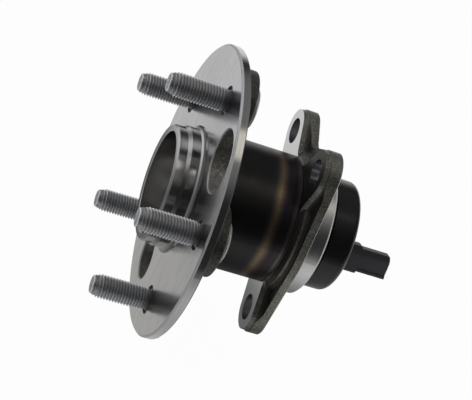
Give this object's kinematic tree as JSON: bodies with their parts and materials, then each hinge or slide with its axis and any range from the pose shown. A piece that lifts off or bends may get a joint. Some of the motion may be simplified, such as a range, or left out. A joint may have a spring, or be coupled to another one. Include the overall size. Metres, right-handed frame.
{
  "type": "wheel hub bearing unit",
  "caption": "Non-driven wheel hub unit: studded wheel flange on a two-row ball bearing, with an eared knuckle flange, a spigot and a sealed speed sensor cap with its connector.",
  "frame": {"origin": "where the spin axis crosses the machined face that the wheel bolts against", "axes": "+Y along the spin axis from the wheel towards the knuckle and the sensor connector, so the studs point to -Y; +X and +Z across it, with the bolt ears placed symmetrically about the X axis"},
  "size_m": [0.151, 0.1455, 0.151],
  "materials": {
    "machined_forging": "turned and ground forged steel, light grey",
    "bearing_steel": "ground bearing steel",
    "polished_steel": "polished ball steel",
    "zinc_steel": "dull zinc-plated steel",
    "pressed_steel": "pressed sheet steel",
    "oxide_forging": "forged and hardened steel, black oxide with heat tint, rough forged sides and ground bolting faces",
    "seal_rubber": "moulded nitrile rubber",
    "cage_plastic": "glass-filled nylon",
    "black_plastic": "semi-gloss black moulded plastic",
    "dark_plastic": "satin dark grey moulded plastic",
    "copper_wire": "enamelled copper and tinned brass"
  },
  "bodies": {
    "housing": {"outer_ring": "oxide_forging", "seal_case": "pressed_steel", "seal_lip": "seal_rubber", "cap_sleeve": "pressed_steel", "cap_o_ring": "seal_rubber", "sensor_cap": "black_plastic", "sensor_holder": "cage_plastic", "sensor_pole_piece": "pressed_steel", "sensor_coil": "copper_wire", "sensor_magnet": "bearing_steel", "connector_housing": "dark_plastic", "connector_terminals": "copper_wire"},
    "hub": {"hub_flange": "machined_forging", "inner_ring": "bearing_steel", "hub_nut": "zinc_steel", "tone_ring": "pressed_steel", "seal_slinger": "pressed_steel", "wheel_stud_1": "zinc_steel", "wheel_stud_2": "zinc_steel", "wheel_stud_3": "zinc_steel", "wheel_stud_4": "zinc_steel", "wheel_stud_5": "zinc_steel"},
    "outboard_rollers": {"balls_outboard": "polished_steel", "cage_outboard": "cage_plastic"},
    "inboard_rollers": {"balls_inboard": "polished_steel", "cage_inboard": "cage_plastic"}
  },
  "joints": [
    {"name": "hub_spin", "type": "hinge", "parent": "housing", "child": "hub", "pos_m": [0, 0, 0], "axis": [0, 1, 0], "continuous": true},
    {"name": "outboard_roll", "type": "hinge", "parent": "housing", "child": "outboard_rollers", "pos_m": [0, 0.02301, 0], "axis": [0, 1, 0], "continuous": true},
    {"name": "inboard_roll", "type": "hinge", "parent": "housing", "child": "inboard_rollers", "pos_m": [0, 0.04401, 0], "axis": [0, 1, 0], "continuous": true}
  ],
  "couplings": [
    {"joint": "outboard_roll", "follows": "hub_spin", "ratio": 0.411},
    {"joint": "inboard_roll", "follows": "hub_spin", "ratio": 0.411}
  ]
}
